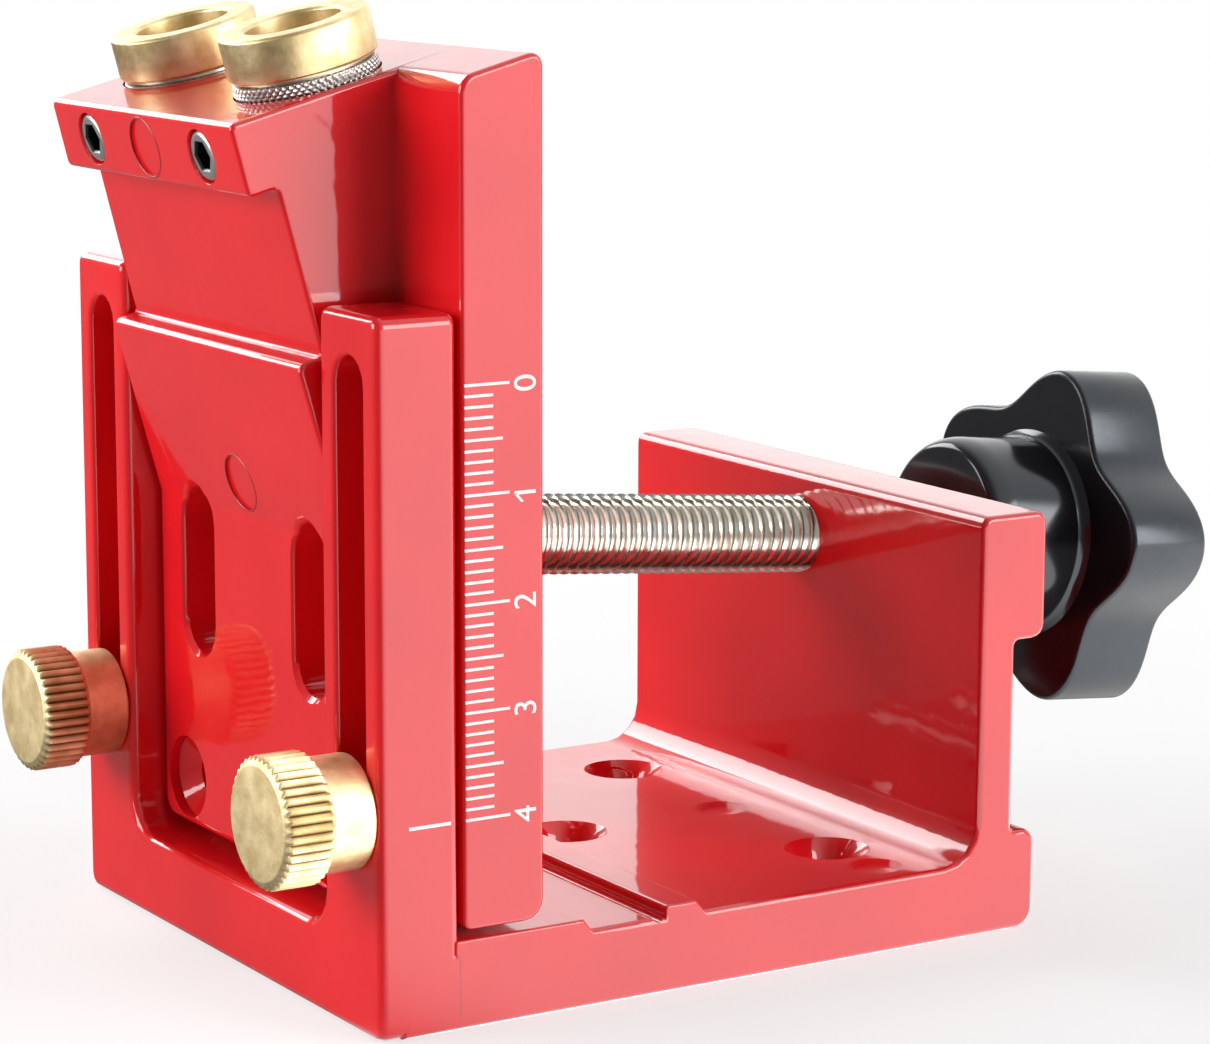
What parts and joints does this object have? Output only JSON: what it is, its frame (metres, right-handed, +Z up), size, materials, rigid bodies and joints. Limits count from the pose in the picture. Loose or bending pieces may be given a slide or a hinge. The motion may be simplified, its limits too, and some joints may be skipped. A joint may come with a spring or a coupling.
{
  "type": "pocket hole jig",
  "caption": "Clamp-on pocket hole jig: cast body with a height-adjustable carriage that guides drills at a shallow angle, thumbscrews and a star-knob clamp screw.",
  "frame": {"origin": "on the underside of the body at mid width, directly below the carriage's rear face, which the board is clamped against", "axes": "+X towards the side with the printed scale, -Y towards the front with the two thumbscrews, +Y towards the star knob, +Z up"},
  "size_m": [0.0652, 0.1188, 0.0934],
  "materials": {
    "red_enamel": "gloss enamel over a casting",
    "brass": "turned and knurled",
    "plain_steel": "machined",
    "nickel_steel": "nickel plated",
    "black_plastic": "moulded, glossy face and satin rim"
  },
  "bodies": {
    "body": {"jig_body": "red_enamel"},
    "carriage": {"guide_carriage": "red_enamel"},
    "bush_left": {"guide_sleeve_left": "plain_steel", "brass_bush_left": "brass"},
    "set_screw_left": {"bush_set_screw_left": "nickel_steel"},
    "thumbscrew_left": {"thumbscrew_left": "brass"},
    "bush_right": {"guide_sleeve_right": "plain_steel", "brass_bush_right": "brass"},
    "set_screw_right": {"bush_set_screw_right": "nickel_steel"},
    "thumbscrew_right": {"thumbscrew_right": "brass"},
    "foot": {"pressure_foot": "plain_steel", "foot_retaining_ring": "plain_steel"},
    "screw": {"clamp_screw": "nickel_steel", "star_knob": "black_plastic"}
  },
  "joints": [
    {"name": "carriage_slide", "type": "slide", "parent": "body", "child": "carriage", "axis": [0, 0, 1], "range_m": [0, 0.0388]},
    {"name": "thumbscrew_turn_left", "type": "hinge", "parent": "carriage", "child": "thumbscrew_left", "pos_m": [-0.0264, -0.0176, 0.0208], "axis": [0, -1, 0], "range_deg": [0, 720]},
    {"name": "bush_slide_left", "type": "slide", "parent": "carriage", "child": "bush_left", "axis": [0, -0.2588, 0.9659], "range_m": [0, 0.02]},
    {"name": "set_screw_turn_left", "type": "hinge", "parent": "carriage", "child": "set_screw_left", "pos_m": [-0.012, -0.02424, 0.07951], "axis": [0, -0.9659, -0.2588], "range_deg": [0, 1080]},
    {"name": "thumbscrew_turn_right", "type": "hinge", "parent": "carriage", "child": "thumbscrew_right", "pos_m": [0.0264, -0.0176, 0.0208], "axis": [0, -1, 0], "range_deg": [0, 720]},
    {"name": "bush_slide_right", "type": "slide", "parent": "carriage", "child": "bush_right", "axis": [0, -0.2588, 0.9659], "range_m": [-0.0011, 0.02]},
    {"name": "set_screw_turn_right", "type": "hinge", "parent": "carriage", "child": "set_screw_right", "pos_m": [0.012, -0.02424, 0.07951], "axis": [0, -0.9659, -0.2588], "range_deg": [0, 1080]},
    {"name": "clamp_travel", "type": "slide", "parent": "body", "child": "foot", "axis": [0, -0.9959, 0.0906], "range_m": [-0.0355, 0.0036]},
    {"name": "clamp_turn", "type": "hinge", "parent": "foot", "child": "screw", "pos_m": [0, 0.0544, 0.0356], "axis": [0, -0.9959, 0.0906], "range_deg": [-10234, 1047]}
  ],
  "couplings": [
    {"joint": "clamp_turn", "follows": "clamp_travel", "rad_per_m": 5026.5}
  ]
}
